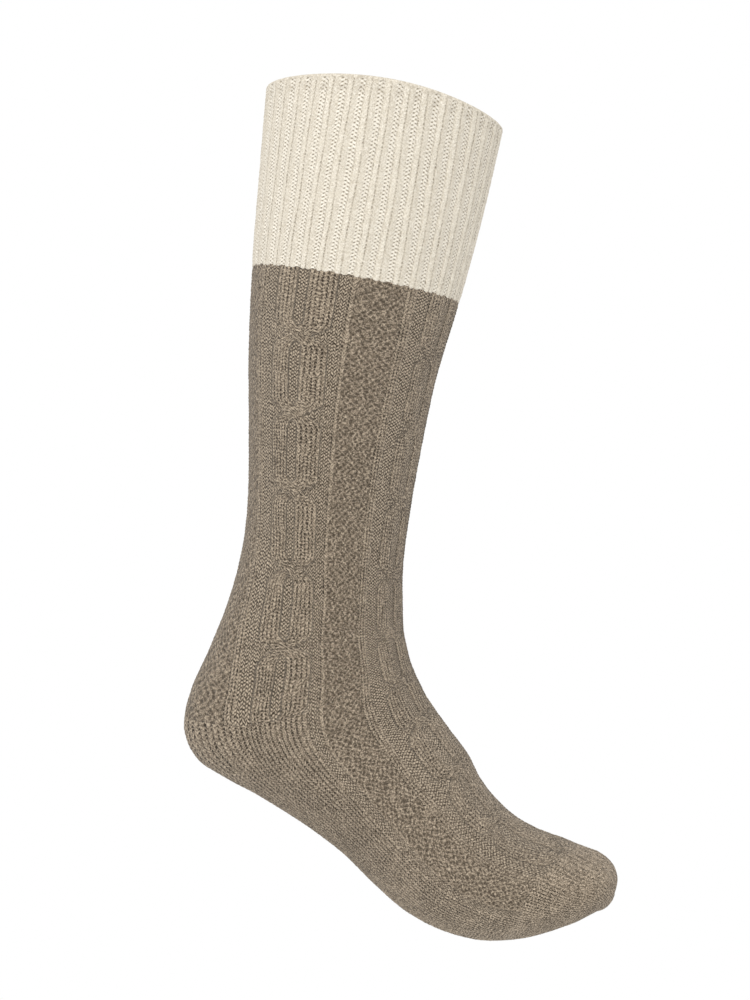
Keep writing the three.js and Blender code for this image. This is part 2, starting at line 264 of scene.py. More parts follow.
# How fine the wool's blur, fibres and flecks are, in features to a metre, and how high the bump stands.
BLUR_SCALE = 110.0
FIBRE_SCALE = 1000.0
FLECK_SCALE = 1900.0
BUMP_HEIGHT = 0.5 * MM
HOLLOW_BUMP = 0.8
FIBRE_BUMP = 0.35
GRAIN_BUMP = 0.25


def length(name, description, default, **limits):
    """A size in metres for the sidebar."""
    return FloatProperty(name=name, description=description, default=default, unit="LENGTH", **limits)


def number(name, description, default, **more):
    """A plain number for the sidebar."""
    return FloatProperty(name=name, description=description, default=default, **more)


def factor(name, description, default):
    """A share from 0 to 1 for the sidebar."""
    return number(name, description, default, min=0.0, max=1.0, subtype="FACTOR")


def colour(name, description, default):
    """A colour for the sidebar, in linear light."""
    return FloatVectorProperty(
        name=name, description=description, default=default, size=3, min=0.0, max=1.0, subtype="COLOR"
    )


class SockSizes(bpy.types.PropertyGroup):
    """Sizes of the worn sock over its outside."""

    leg_length: length("Leg length", "Rim to ankle, straight down", 244.5 * MM)
    calf_depth: length("Calf depth", "Back to front at the rim", 120.8 * MM)
    calf_width: length("Calf width", "Side to side at the rim", 112 * MM)
    foot_length: length("Foot length", "Back of the heel to the toe tip", 228 * MM)
    heel_depth: length("Heel depth", "Heel to instep", 118 * MM)
    foot_width: length("Foot width", "Across the ball of the foot", 93 * MM)
    cuff_height: length("Cuff height", "Rim to the taupe knitting, along the leg", 87.9 * MM)
    rim_rise: length("Rim rise", "How much higher the rim stands at the sides", 7 * MM)
    heel_drop: length("Heel drop", "Ankle to the heel's first row at the back", 43.5 * MM)
    heel_side_drop: length("Heel side drop", "Ankle to the heel's first row at the sides", 55.5 * MM)
    heel_end_drop: length("Heel end drop", "Ankle to the sole's first row", 83.3 * MM)
    toe_length: length("Toe length", "The plain toe at the sides and under the foot", 41.5 * MM)
    toe_top_length: length("Toe top length", "The plain toe over the toes", 24 * MM)
    toe_dome: length("Toe dome", "How far the closed toe end bulges", 1.4 * MM)
    knit_thickness: length("Knit thickness", "Thickness of the plain knitting", 2.2 * MM)


class SockKnit(bpy.types.PropertyGroup):
    """Stitch sizes and how high the knitting stands."""

    cuff_row: length("Cuff row", "Height of one row of the cuff", 1.8 * MM)
    row: length("Row", "Height of one row of the leg and foot", 1.65 * MM)
    rib_rise: length("Rib rise", "Height of the cuff's knit columns", 0.5 * MM)
    # Painted shade on each rib's second wale, the side turned away from the light.
    rib_painted_shade: factor("Rib shade", "Shade on each rib's second wale", 0.1)
    rope_rise: length("Rope rise", "Height of the cables' ropes", 0.43 * MM)
    edge_rise: length("Edge rise", "Height of the columns beside the seed stitch", 0.35 * MM)
    purl_sink: length("Purl sink", "Depth of the purl channels", 0.2 * MM)
    valley_sink: length("Valley sink", "Depth between the cuff's ribs", 0.15 * MM)
    hole_depth: length("Hole depth", "Depth of the small holes between a rib's two wales", 0.2 * MM)
    seed_rise: length("Seed rise", "Height of the seed stitch's base", 0.05 * MM)
    knit_relief: length("Knit relief", "Height of one knit stitch", 0.3 * MM)
    purl_relief: length("Purl relief", "Height of one purl stitch", 0.3 * MM)
    seed_relief: length("Seed relief", "Height of one seed bump", 0.3 * MM)
    unevenness: length("Unevenness", "How far single stitches stand above or below the rest", 0.09 * MM)
    cable_start: length("Cable start", "Cuff to the first crossing of the ropes", 31 * MM)
    cable_repeat: length("Cable repeat", "One crossing of the ropes to the next", 37.4 * MM)
    cable_crossing: length("Cable crossing", "Half the length over which the ropes cross", 7 * MM)
    slant_length: length("Slant length", "Toe tip to where the wales start to run down its sides", 62 * MM)
    toe_slant: number("Toe slant", "Stitches that a wale runs down in one row", 0.36)
    dent_row: number("Dent row", "Row under the rim where the valleys start", 2.2)
    # Painted shade in a valley's first row, where it dents.
    dent_painted_shade: factor("Dent shade", "How dark a valley's first row is", 0.25)
    foot_softness: factor("Foot softness", "How blurred the foot's pattern is", 0.35)
    toe_softness: factor("Toe softness", "How blurred the wales are over the toes", 0.6)
    rim_back_rise: length("Rim back rise", "How much higher the rim's roll stands at the back", 1.8 * MM)
    rim_bead: length("Rim bead", "Radius of the rolled rim", 1.35 * MM)
    fuzz_length: length("Fuzz length", "Length of the fibres that stand off the wool", 1.5 * MM)
    fuzz_width: length("Fuzz width", "Width of a fibre at its root", 0.05 * MM)
    fuzz_count: IntProperty(
        name="Fuzz count", description="Fibres that stand off the wool", default=16000, min=0
    )
    cream_share: factor("Cream share", "Share of the fibres that stand off the cuff", 0.3)


class SockWool(bpy.types.PropertyGroup):
    """Colours of the two wools, in linear light."""

    cream_light: colour("Cream light", "Light fibres of the cream wool", (0.93, 0.875, 0.77))
    cream_dark: colour("Cream dark", "Dark fibres of the cream wool", (0.68, 0.61, 0.49))
    # The painted shade between the cream stitches, which the heather's dark specks also take.
    cream_shade_and_speck: colour("Cream deep", "Between the cream stitches", (0.20, 0.15, 0.09))
    taupe_light: colour("Taupe light", "Light fibres of the taupe wool", (0.595, 0.488, 0.364))
    taupe_dark: colour("Taupe dark", "Dark fibres of the taupe wool", (0.175, 0.135, 0.094))
    # The painted shade between the taupe stitches, which the heather's dark specks also take.
    taupe_shade_and_speck: colour("Taupe deep", "Between the taupe stitches", (0.04, 0.03, 0.02))


class SockStage(bpy.types.PropertyGroup):
    """Camera, lights and floor."""

    camera_distance: length("Camera distance", "Camera to the middle of the sock", 1.3)
    camera_x: length("Camera place", "Camera's place along the foot", -4.8 * MM)
    camera_z: length("Camera height", "Camera's height from the rim", -194.4 * MM)
    view_height: length("View height", "Height of the picture at the sock", 0.5)
    near_limit: length("Near limit", "Nearest distance that the camera draws", 0.05)
    far_limit: length("Far limit", "Farthest distance that the camera draws", 50.0)
    floor_drop: length("Floor drop", "Rim to the floor", 0.95)
    floor_half: length("Floor half", "Half the floor's width", 1.6)
    sky: number("Sky", "Strength of the white studio", 1.0, min=0.0)
    key: number("Key", "Strength of the large lamp in watts", 10.0, min=0.0)


# The lamps: each one's name, place from the middle of the sock, width, and share of the key's strength.
LAMPS = (
    ("key_lamp", (-0.3, -1.4, 1.0), 0.9, 1.0),
    ("side_lamp", (-1.5, -0.2, 0.3), 1.0, 0.1),
)

SCENE_GROUPS = {
    "sock_sizes": SockSizes,
    "sock_knit": SockKnit,
    "sock_wool": SockWool,
    "sock_stage": SockStage,
}


def ease(share):
    """A share from 0 to 1 that starts and ends gently."""
    held = np.clip(share, 0.0, 1.0)
    return held * held * (3 - 2 * held)


def dome(share):
    """0 at both edges of a width and 1 at its middle, with steep sides."""
    return np.sin(np.pi * np.clip(share, 0, 1)) ** GROUP_ROUNDING


class Shape:
    """The sock's plain outer face, with a point for each place in the round and length along the sock."""

    def __init__(self, sizes):
        self.sizes = sizes
        columns = {name: [] for name in SECTION_COLUMNS}
        scales = (
            (LEG_SECTIONS, sizes.leg_length, sizes.calf_depth, sizes.calf_width),
            (FOOT_SECTIONS, sizes.foot_length, sizes.heel_depth, sizes.foot_width),
        )
        start_x = 0.0
        start_z = 0.0
        for sections, run, depth, width in scales:
            for values in sections:
                row = dict(zip(SECTION_COLUMNS, values))
                columns["ahead"].append(start_x + row["ahead"] * run)
                columns["down"].append(start_z + row["down"] * run)
                columns["depth"].append(row["depth"] * depth)
                columns["width"].append(row["width"] * width)
                columns["sway"].append(row["sway"] * width)
                for name in ("lean", "taper", "drift", "gather"):
                    columns[name].append(row[name])
            start_x = columns["ahead"][-1]
            start_z = columns["down"][-1]
        self.columns = {name: np.array(values, dtype=float) for name, values in columns.items()}
        steps = np.hypot(np.diff(self.columns["ahead"]), np.diff(self.columns["down"]))
        self.along = np.concatenate([[0.0], np.cumsum(steps)])
        self.ankle = self.along[len(LEG_SECTIONS) - 1]
        self.tip = self.along[-1]

    def smooth(self, column, along):
        """One column at a length along the sock, on a smooth curve through the sections."""
        values = self.columns[column]
        last = len(values) - 1
        k = np.clip(np.searchsorted(self.along, along) - 1, 0, last - 1)

        def slope(i):
            a = np.clip(i - 1, 0, last)
            b = np.clip(i + 1, 0, last)
            return (values[b] - values[a]) / (self.along[b] - self.along[a])

        step = self.along[k + 1] - self.along[k]
        t = (along - self.along[k]) / step
        return (
            (2 * t**3 - 3 * t**2 + 1) * values[k]
            + (t**3 - 2 * t**2 + t) * step * slope(k)
            + (3 * t**2 - 2 * t**3) * values[k + 1]
            + (t**3 - t**2) * step * slope(k + 1)
        )

    def angle(self, stitch, along):
        """Angle round the section, 0 on the near side and a quarter turn at the front."""
        even = np.radians(PATTERN_PHASE + (stitch - SEED_CENTRE) * 360 / ROUND)
        below = along - self.ankle
        spread = ease(below / SPREAD_LENGTH) - ease((below - SPREAD_END) / SPREAD_FADE)
        back = np.minimum(0, np.sin(even)) ** 4 * np.cos(even)
        drift = np.radians(self.smooth("drift", along)) * np.cos(even)
        drawn = drift - np.radians(self.smooth("gather", along)) * np.sin(2 * even)
        return even + drawn + np.radians(HEEL_SPREAD) * spread * back

    def point(self, stitch, along, rise, pinch=1.0, advance=0.0):
        """Points of the knitting. pinch flattens a section and advance moves it towards the toe."""
        angle = self.angle(stitch, along)
        lean = np.radians(self.smooth("lean", along))
        front = (self.smooth("depth", along) / 2 + rise) * np.sin(angle) * pinch
        taper = 1 - self.smooth("taper", along) * np.sin(angle)
        side = (self.smooth("width", along) / 2 + rise) * np.cos(angle) * taper * (1 + pinch) / 2
        fade = np.maximum(0, 1 - along / self.sizes.cuff_height) ** 2
        lift = self.sizes.rim_rise * np.cos(angle) ** 2 * fade - advance
        x = self.smooth("ahead", along) + front * np.cos(lean) + lift * np.sin(lean)
        z = -self.smooth("down", along) - front * np.sin(lean) + lift * np.cos(lean)
        return np.stack([x, -side - self.smooth("sway", along), z], axis=-1)

    def frontness(self, stitch, along):
        """How far forward a place in the round lies, from -1 at the back to 1 at the front."""
        return np.sin(self.angle(stitch, along))

    def cuff_end(self, stitch):
        """Where the cuff meets the leg."""
        return self.sizes.cuff_height

    def leg_start(self, stitch):
        """Where the leg's first row lies, just under the cuff's last one."""
        return self.cuff_end(stitch) - LEG_OVERLAP

    def heel_start(self, stitch):
        """Where the leg meets the heel and the instep."""
        side = self.ankle + self.sizes.heel_side_drop
        back = self.ankle + self.sizes.heel_drop
        share = np.maximum(0, -self.frontness(stitch, side)) ** HEEL_CURVE
        return side + (back - side) * share

    def leg_middle(self, stitch):
        """Where the leg's two meshes meet."""
        return (self.cuff_end(stitch) + self.heel_start(stitch)) / 2

    def sole_start(self, stitch):
        """Where the heel meets the sole."""
        return self.ankle + self.sizes.heel_end_drop

    def toe_start(self, stitch):
        """Where the plain toe begins."""
        side = self.tip - self.sizes.toe_length
        top = self.tip - self.sizes.toe_top_length
        share = np.maximum(0, self.frontness(stitch, side)) ** TOE_CURVE
        return side + (top - side) * share

    def toe_end(self, stitch):
        """Where the toe's rows end."""
        return self.tip


class Chart:
    """A chart repeated round the sock. row is the height of a row and per_row how many points it has."""

    def __init__(self, groups, first, row, per_row):
        self.first = first
        self.row = row
        self.per_row = per_row
        self.names, kinds, widths, wales = zip(*groups)
        self.kinds = np.array(kinds)
        self.widths = np.array(widths)
        self.wales = np.array(wales)
        self.starts = np.concatenate([[0], np.cumsum(self.widths)[:-1]])
        self.repeat = int(self.widths.sum())

    def find(self, stitch):
        """The group at each place of the round, and the place within it."""
        place = np.mod(stitch + NUDGE - self.first, self.repeat)
        group = np.searchsorted(self.starts, place, side="right") - 1
        return group, place - self.starts[group]

    def per_group(self, values):
        """One number for each group, from a table by name."""
        return np.array([values.get(name, 0.0) for name in self.names])


# What the knitting is like at a grid of places.
Relief = namedtuple("Relief", "height openness knit purl wale")


class Knitting:
    """Works out the relief of the stitches above the plain face, in metres."""

    def __init__(self, shape, knit):
        self.shape = shape
        self.knit = knit
        generator = np.random.default_rng(SEED_NUMBER)
        self.luck = generator.random((ROUND, LUCK_ROWS))

    def luck_at(self, stitch, row):
        """A random number from 0 to 1 for each stitch."""
        column = np.mod(np.floor(stitch).astype(int), ROUND)
        course = np.mod(np.floor(row).astype(int), LUCK_ROWS)
        return self.luck[column, course]

    def drift_at(self, stitch, row):
        """Smooth random numbers from 0 to 1 that change from stitch to stitch."""
        s = ease(np.mod(stitch, 1))
        r = ease(np.mod(row, 1))
        near = self.luck_at(stitch, row) * (1 - s) + self.luck_at(stitch + 1, row) * s
        far = self.luck_at(stitch, row + 1) * (1 - s) + self.luck_at(stitch + 1, row + 1) * s
        return near * (1 - r) + far * r

    def group_rise(self, chart, group, place):
        """Height of each group of stitches, rounded across the group."""
        knit = self.knit
        rises = {
            "column": knit.rib_rise,
            "valley": -knit.valley_sink,
            "seed": knit.seed_rise,
            "edge": knit.edge_rise,
            "purl": -knit.purl_sink,
        }
        rounded = np.where(chart.kinds[group] != SEED, dome(place / chart.widths[group]), 1.0)
        return chart.per_group(rises)[group] * rounded

    def cables(self, chart, group, place, along):
        """Crosses the ropes of the cable chart.

        Gives where the ropes' band lies, where a rope lies in it, the wale of the rope and its height.
        """
        knit = self.knit
        left = chart.names.index("left rope")
        widths = chart.widths[left : left + 3]
        band = int(widths.sum())
        x = chart.starts[group] + place - chart.starts[left]
        inside = (x >= 0) & (x < band)
        below = along - self.shape.sizes.cuff_height - knit.cable_start
        turn = np.maximum(0, np.round(below / knit.cable_repeat))
        q = np.clip((below - turn * knit.cable_repeat) / knit.cable_crossing, -1, 1)
        sweep = 0.5 + 0.5 * np.sin(q * np.pi / 2)
        crossing = np.cos(q * np.pi / 2)

        def rope(share):
            width = widths[0] + (widths[2] - widths[0]) * share
            start = (band - widths[2]) * share
            return (x - start) / width

        over = rope(sweep)
        under = rope(1 - sweep)
        on_over = (over >= 0) & (over <= 1)
        on_rope = (on_over | ((under >= 0) & (under <= 1))) & inside
        across = np.clip(np.where(on_over, over, under), 0, 1)
        lift = np.where(on_over, 1 + UPPER_ROPE * crossing, 1 - UNDER_ROPE * crossing)
        wales = np.where(on_over, chart.wales[left], chart.wales[left + 2])
        return inside, on_rope, across * wales, knit.rope_rise * dome(across) * lift

    def relief(self, chart, stitch, row, along):
        """The relief at a grid of places."""
        knit = self.knit
        stitch = stitch + 0 * along
        row = row + 0 * along
        group, place = chart.find(stitch)
        kind = chart.kinds[group]
        rise = self.group_rise(chart, group, place)
        if "plain" in chart.names:
            slant = self.toe_slant(stitch, along)
            place = place + slant
            stitch = stitch + slant
        wale = stitch - place + chart.wales[group] * place / chart.widths[group]
        light = 1.0
        crispness = 1.0
        if "left rope" in chart.names:
            band, on_rope, rope_wale, rope_rise = self.cables(chart, group, place, along)
            kind = np.where(band, np.where(on_rope, KNIT, PURL), kind)
            rise = np.where(band, np.where(on_rope, rope_rise, -knit.purl_sink), rise)
            wale = np.where(band & on_rope, rope_wale, wale)
            foot = np.clip((along - self.shape.ankle - FOOT_START) / FOOT_FADE, 0, 1)
            rise = rise * (1 - FOOT_FLATNESS * foot)
            light = 1 + FOOT_LIGHT * foot
            crispness = 1 - knit.foot_softness * foot
        swell = 0.5 - 0.5 * np.cos(2 * np.pi * row)
        legs = np.abs(np.sin(2 * np.pi * np.mod(stitch, 1))) ** LEG_ROUNDING
        ridge = 0.5 + 0.5 * np.cos(2 * np.pi * (row + (self.drift_at(stitch, row / RIDGE_ROWS) - 0.5)))
        shapes = np.choose(kind, [legs * (0.5 + 0.5 * swell), ridge, self.drift_at(stitch, row)])
        scales = np.choose(kind, [knit.knit_relief, knit.purl_relief, knit.seed_relief])
        luck = self.luck_at(stitch + 0.5, row)
        height = rise + scales * (shapes - 0.5) + knit.unevenness * (luck - 0.5) * 2
        # Painted shade by the kind of stitch, darker on purl, times the foot's lighter tone.
        openness = np.choose(kind, KIND_LIGHT) * light
        if "valley" in chart.names:
            # Painted shade in the small holes between a rib's two wales and in the dent where each valley
            # starts.
            seam = np.where(np.abs(place - 1) < SEAM_HALF, 1 - swell, 0.0)
            # Painted shade on each rib's second wale, the side turned away from the light.
            shade = knit.rib_painted_shade * dome(place - 1)
            dent = np.exp(-(((row - knit.dent_row) / DENT_HALF_ROWS) ** 2)) * (kind == PURL)
            openness = np.where(kind == KNIT, 1 - SEAM_SHADE * seam - shade, 1 - knit.dent_painted_shade * dent)
            height = height - knit.hole_depth * (seam + dent)
        if "plain" in chart.names:
            toe = ease((along - self.shape.tip + TOE_START) / TOE_FADE)
            over = toe * np.maximum(0, self.shape.frontness(stitch, along))
            openness = openness * (PLAIN_LIGHT + TOE_LIGHT * toe + TOE_TOP_LIGHT * over)
            crispness = 1 - knit.toe_softness * over
        return Relief(height, openness, (kind == KNIT) * crispness, (kind == PURL) * crispness, wale)

    def toe_slant(self, stitch, along):
        """How far the wales run down the toe's sides, in stitches."""
        beyond = np.maximum(0, along - self.shape.tip + self.knit.slant_length)
        return self.knit.toe_slant * np.cos(self.shape.angle(stitch, along)) * beyond / self.knit.row

    def chevron(self, chart, stitch):
        """How far each column's rows dip at the middle of a stitch, in rows."""
        peak = 1 - np.abs(2 * np.mod(stitch, 1) - 1)
        group, _ = chart.find(stitch)
        return peak * np.choose(chart.kinds[group], KIND_DIP)

    def wander(self, stitch, along):
        """Small sideways waves of the wales, in stitches."""
        turn = stitch * 2 * np.pi / ROUND
        return WAVE_SIZE * sum(np.sin(along / size + turn * turns) for size, turns in WAVES)


class MeshParts:
    """Gathers grids and strips of faces into one mesh."""

    # The first field is the painted light and shade that darkens the base colour at each point, times the
    # lighter tone of the foot and the toe.
    FIELDS = ("openness", "knit", "purl")

    def __init__(self):
        self.points = []
        self.fields = {name: [] for name in self.FIELDS}
        self.faces = []
        self.uvs = []
        self.count = 0

    def add(self, points, openness=0.9, knit=1.0, purl=0.0):
        """Adds points and gives their numbers in the same grid."""
        shape = points.shape[:-1]
        numbers = np.arange(self.count, self.count + int(np.prod(shape))).reshape(shape)
        self.points.append(points.reshape(-1, 3))
        for name, given in zip(self.FIELDS, (openness, knit, purl)):
            self.fields[name].append(np.broadcast_to(given, shape).reshape(-1))
        self.count += numbers.size
        return numbers

    def grid(self, numbers, wale, row, wraps, flip=False):
        """Faces between the rows and columns of a grid. wale and row label its places."""
        wale = np.broadcast_to(wale, numbers.shape)
        row = np.broadcast_to(np.reshape(row, (-1, 1)), numbers.shape)
        if wraps:
            numbers = np.concatenate([numbers, numbers[:, :1]], axis=1)
            wale = np.concatenate([wale, wale[:, :1] + ROUND], axis=1)
            row = np.concatenate([row, row[:, :1]], axis=1)
        pick = [np.s_[:-1, :-1], np.s_[1:, :-1], np.s_[1:, 1:], np.s_[:-1, 1:]]
        if flip:
            pick.reverse()
        self.faces.append(np.stack([numbers[part].reshape(-1) for part in pick], axis=1))
        corners = [np.stack([wale[part].reshape(-1), row[part].reshape(-1)], axis=1) for part in pick]
        self.uvs.append(np.stack(corners, axis=1))

    def join(self, fine, coarse, wraps, flip=False):
        """Faces between a fine line of points and a coarse one, which has one for each stitch."""
        step = COLUMNS_PER_STITCH
        fine = list(fine) + ([fine[0]] if wraps else [])
        coarse = list(coarse) + ([coarse[0]] if wraps else [])
        faces = []
        for i in range(len(coarse) - 1):
            for k in range(i * step, (i + 1) * step):
                faces.append((coarse[i], fine[k], fine[k + 1], fine[k + 1]))
            faces.append((coarse[i], fine[(i + 1) * step], coarse[i + 1], coarse[i + 1]))
        faces = np.array(faces)
        if flip:
            faces = faces[:, [0, 2, 1, 1]]
        self.faces.append(faces)
        self.uvs.append(np.full((len(faces), 4, 2), 0.5))

    def build(self, name, material):
        """Makes the mesh object."""
        points = np.concatenate(self.points)
        faces = np.concatenate(self.faces)
        uvs = np.concatenate(self.uvs)
        triangle = faces[:, 2] == faces[:, 3]
        sizes = np.where(triangle, 3, 4)
        used = np.ones(faces.shape, dtype=bool)
        used[triangle, 3] = False
        mesh = bpy.data.meshes.new(name)
        mesh.vertices.add(len(points))
        mesh.vertices.foreach_set("co", points.reshape(-1))
        mesh.loops.add(int(sizes.sum()))
        mesh.loops.foreach_set("vertex_index", faces[used])
        mesh.polygons.add(len(faces))
        mesh.polygons.foreach_set("loop_start", np.concatenate([[0], np.cumsum(sizes)[:-1]]))
        mesh.update(calc_edges=True)
        mesh.validate()
        if len(mesh.loops) != int(sizes.sum()):
            raise RuntimeError(f"{name} has faces that Blender drops")
        layer = mesh.uv_layers.new(name="stitches")
        layer.uv.foreach_set("vector", uvs[used].reshape(-1))
        for field, values in self.fields.items():
            made = mesh.attributes.new(field, "FLOAT", "POINT")
            made.data.foreach_set("value", np.concatenate(values).astype(np.float32))
        mesh.polygons.foreach_set("use_smooth", np.ones(len(faces), dtype=bool))
        mesh.materials.append(material)
        piece = bpy.data.objects.new(name, mesh)
        bpy.context.scene.collection.objects.link(piece)
        return piece


class Knitter:
    """Knits the pieces: an outer face with stitches, a plainer inner face, and the edges between them."""

    def __init__(self, scene):
        self.sizes = scene.sock_sizes
        self.knit = scene.sock_knit
        self.shape = Shape(self.sizes)
        self.knitting = Knitting(self.shape, self.knit)
        self.rib = Chart(RIB_CHART, RIB_FIRST, self.knit.cuff_row, CUFF_POINTS_PER_ROW)
        self.cable = Chart(CABLE_CHART, CABLE_FIRST, self.knit.row, POINTS_PER_ROW)
        self.plain = Chart(PLAIN_CHART, 0, self.knit.row, POINTS_PER_ROW)

    def rows_between(self, stitches, start, end, row):
        """How many rows fit between two edges, measured on the surface at a few places."""
        places = np.linspace(stitches[0], stitches[-1], MEASURED_PLACES)
        share = np.linspace(0, 1, MEASURED_STEPS)[:, None]
        along = start(places) * (1 - share) + end(places) * share
        points = self.shape.point(places, along, 0.0)
        lengths = np.linalg.norm(np.diff(points, axis=0), axis=2).sum(axis=0)
        return max(2, round(float(lengths.mean() / row)))

    def outer(self, parts, chart, stitches, start, end, first_row, wraps, flat):
        """Adds the stitched outer face and gives its point numbers and row labels.

        flat gives how far each place lies from an edge where the relief ends, in stitches.
        """
        rows = self.rows_between(stitches, start, end, chart.row)
        share = np.linspace(0, 1, rows * chart.per_row + 1)[:, None]
        labels = first_row + share[:, 0] * rows
        along = start(stitches) * (1 - share) + end(stitches) * share
        made = self.knitting.relief(chart, stitches, labels[:, None], along)
        keep = np.clip(flat(stitches, share * rows, rows), 0, 1)
        placed = along + self.knitting.chevron(chart, stitches) * chart.row * keep
        wandered = stitches + self.knitting.wander(stitches, along)
        points = self.shape.point(wandered, placed, made.height * keep)
        numbers = parts.add(points, made.openness, made.knit, made.purl)
        parts.grid(numbers, made.wale, labels, wraps)
        return numbers, labels

    def inner(self, parts, stitches, start, end, steps, wraps, cut=0.0):
        """Adds the plain inner face, which ends a cut short of the outer one."""
        coarse = stitches[::COLUMNS_PER_STITCH]
        share = np.linspace(0, 1, steps)[:, None]
        along = start(coarse) * (1 - share) + (end(coarse) - cut) * share
        points = self.shape.point(coarse, along, -self.sizes.knit_thickness)
        # The inner face gets painted shade.
        numbers = parts.add(points, INNER_LIGHT)
        parts.grid(numbers, coarse, along.mean(axis=1) / self.knit.row, wraps, flip=True)
        return numbers

    def strip(self, name, material, chart, stitches, start, end, first_row, flat, inner_rows=None):
        """A piece with open ends, round the whole sock or a part of it. Gives its last row too."""
        parts = MeshParts()
        wraps = stitches is ALL_ROUND
        numbers, labels = self.outer(parts, chart, stitches, start, end, first_row, wraps, flat)
        steps = inner_rows or (len(numbers) - 1) // COLUMNS_PER_STITCH + 1
        inside = self.inner(parts, stitches, start, end, steps, wraps)
        parts.join(numbers[0], inside[0], wraps)
        parts.join(numbers[-1], inside[-1], wraps, flip=True)
        return parts.build(name, material), int(labels[-1])

    def leg(self, name, material, start, end, first_row, flat):
        """A stretch of the cabled leg."""
        return self.strip(name, material, self.cable, ALL_ROUND, start, end, first_row, flat, LEG_INNER_ROWS)

    def half(self, name, material, chart, first, start, end, first_row, ends):
        """A piece that covers half the round. ends tells whether its first and last rows lie flat."""
        stitches = np.arange(HALF_ROUND * COLUMNS_PER_STITCH + 1) / COLUMNS_PER_STITCH + first

        def flat(stitch, done, count):
            sides = np.minimum(stitch - first, first + HALF_ROUND - stitch)
            near = done if ends[0] else count
            far = count - done if ends[1] else count
            return np.minimum(sides, np.minimum(near, far) / SEAM_ROWS)

        return self.strip(name, material, chart, stitches, start, end, first_row, flat)

    @staticmethod
    def leg_start_flat(stitch, done, count):
        """The leg's first row lies low under the cuff's last one."""
        return done * 2 - 1

    @staticmethod
    def leg_end_flat(stitch, done, count):
        """The leg's last row lies flat where the heel follows, and keeps its relief at the instep."""
        place = np.mod(stitch - INSTEP_FIRST, ROUND)
        front = np.minimum(place, HALF_ROUND - place)
        return np.maximum((count - done) / SEAM_ROWS, front)

    @staticmethod
    def cuff_flat(stitch, done, count):
        """The cuff's last rows keep most of their relief."""
        return np.maximum((count - done) / CUFF_END_ROWS, CUFF_END_RELIEF)

    @staticmethod
    def toe_flat(stitch, done, count):
        """The toe's first and last rows lie flat."""
        return np.minimum(done, count - done) / SEAM_ROWS

    def rim(self, stitch):
        """Where the cuff's first row lies, under its rolled rim."""
        backward = np.maximum(0, -self.shape.frontness(stitch, 0.0))
        return self.knit.rim_bead - self.knit.rim_back_rise * backward**3

    def bead(self, rib):
        """Points of the rolled rim, from the inner face over the top to the outer one."""
        radius = self.knit.rim_bead
        half = self.sizes.knit_thickness / 2
        ring = []
        for angle in np.linspace(math.pi, 0, BEAD_POINTS):
            outward = math.cos(angle)
            rise = -half + (half + radius * BEAD_BULGE) * outward + rib * BEAD_RIB * outward
            along = self.rim(ALL_ROUND) + radius * (-BEAD_START - BEAD_HEIGHT * math.sin(angle))
            ring.append(self.shape.point(ALL_ROUND, along, rise))
        return np.stack(ring)

    def cuff(self, name, material):
        """The ribbed cuff with its rolled rim."""
        parts = MeshParts()
        end = self.shape.cuff_end
        numbers, labels = self.outer(parts, self.rib, ALL_ROUND, self.rim, end, 0, True, self.cuff_flat)
        group, place = self.rib.find(ALL_ROUND)
        rib = self.knitting.group_rise(self.rib, group, place)
        bead = parts.add(self.bead(rib), 1.0, 0.0)
        share = np.linspace(0, 1, CUFF_INNER_ROWS)[1:, None]
        along = self.rim(ALL_ROUND) * (1 - share) + self.sizes.cuff_height * share
        depth = -rib * INNER_RIB - self.sizes.knit_thickness
        # The cuff's inner face gets painted shade.
        inside = parts.add(self.shape.point(ALL_ROUND, along, depth), CUFF_INNER_LIGHT)
        loop = np.concatenate([inside[::-1], bead, numbers[:1]])
        rim_marks = np.linspace(*RIM_MARKS, len(bead))
        marks = np.concatenate([-share[::-1, 0] * labels[-1] - 2, rim_marks, labels[:1]])
        parts.grid(loop, ALL_ROUND, marks, wraps=True)
        parts.grid(np.stack([numbers[-1], inside[-1]]), ALL_ROUND, labels[-1] + np.array([0, 1]), wraps=True)
        return parts.build(name, material)

    def toe(self, name, material, first_row):
        """The plain toe, closed at its end by two rows of stitches that meet."""
        parts = MeshParts()
        start = self.shape.toe_start
        end = self.shape.toe_end
        flat = self.toe_flat
        numbers, labels = self.outer(parts, self.plain, ALL_ROUND, start, end, first_row, True, flat)
        closing = np.linspace(0, 1, CLOSING_STEPS)[1:]
        marks = labels[-1] + closing * CLOSING_ROWS
        tip = np.full((len(closing), 1), self.shape.tip)
        made = self.knitting.relief(self.plain, ALL_ROUND, marks[:, None], tip)
        wandered = ALL_ROUND + self.knitting.wander(ALL_ROUND, tip)
        pinch = np.cos(closing * math.pi / 2)[:, None]
        advance = self.sizes.toe_dome * np.sin(closing * math.pi / 2)[:, None]
        uneven = made.height * np.sin(closing * math.pi)[:, None]
        points = self.shape.point(wandered, tip, uneven, pinch, advance)
        dome_numbers = parts.add(points, made.openness, made.knit, made.purl)
        loop = np.concatenate([numbers[-1:], dome_numbers])
        parts.grid(loop, ALL_ROUND, np.concatenate([labels[-1:], marks]), wraps=True)
        cut = TOE_CUT * self.sizes.knit_thickness
        inside = self.inner(parts, ALL_ROUND, start, end, TOE_INNER_ROWS, True, cut)
        parts.join(numbers[0], inside[0], True)
        return parts.build(name, material)

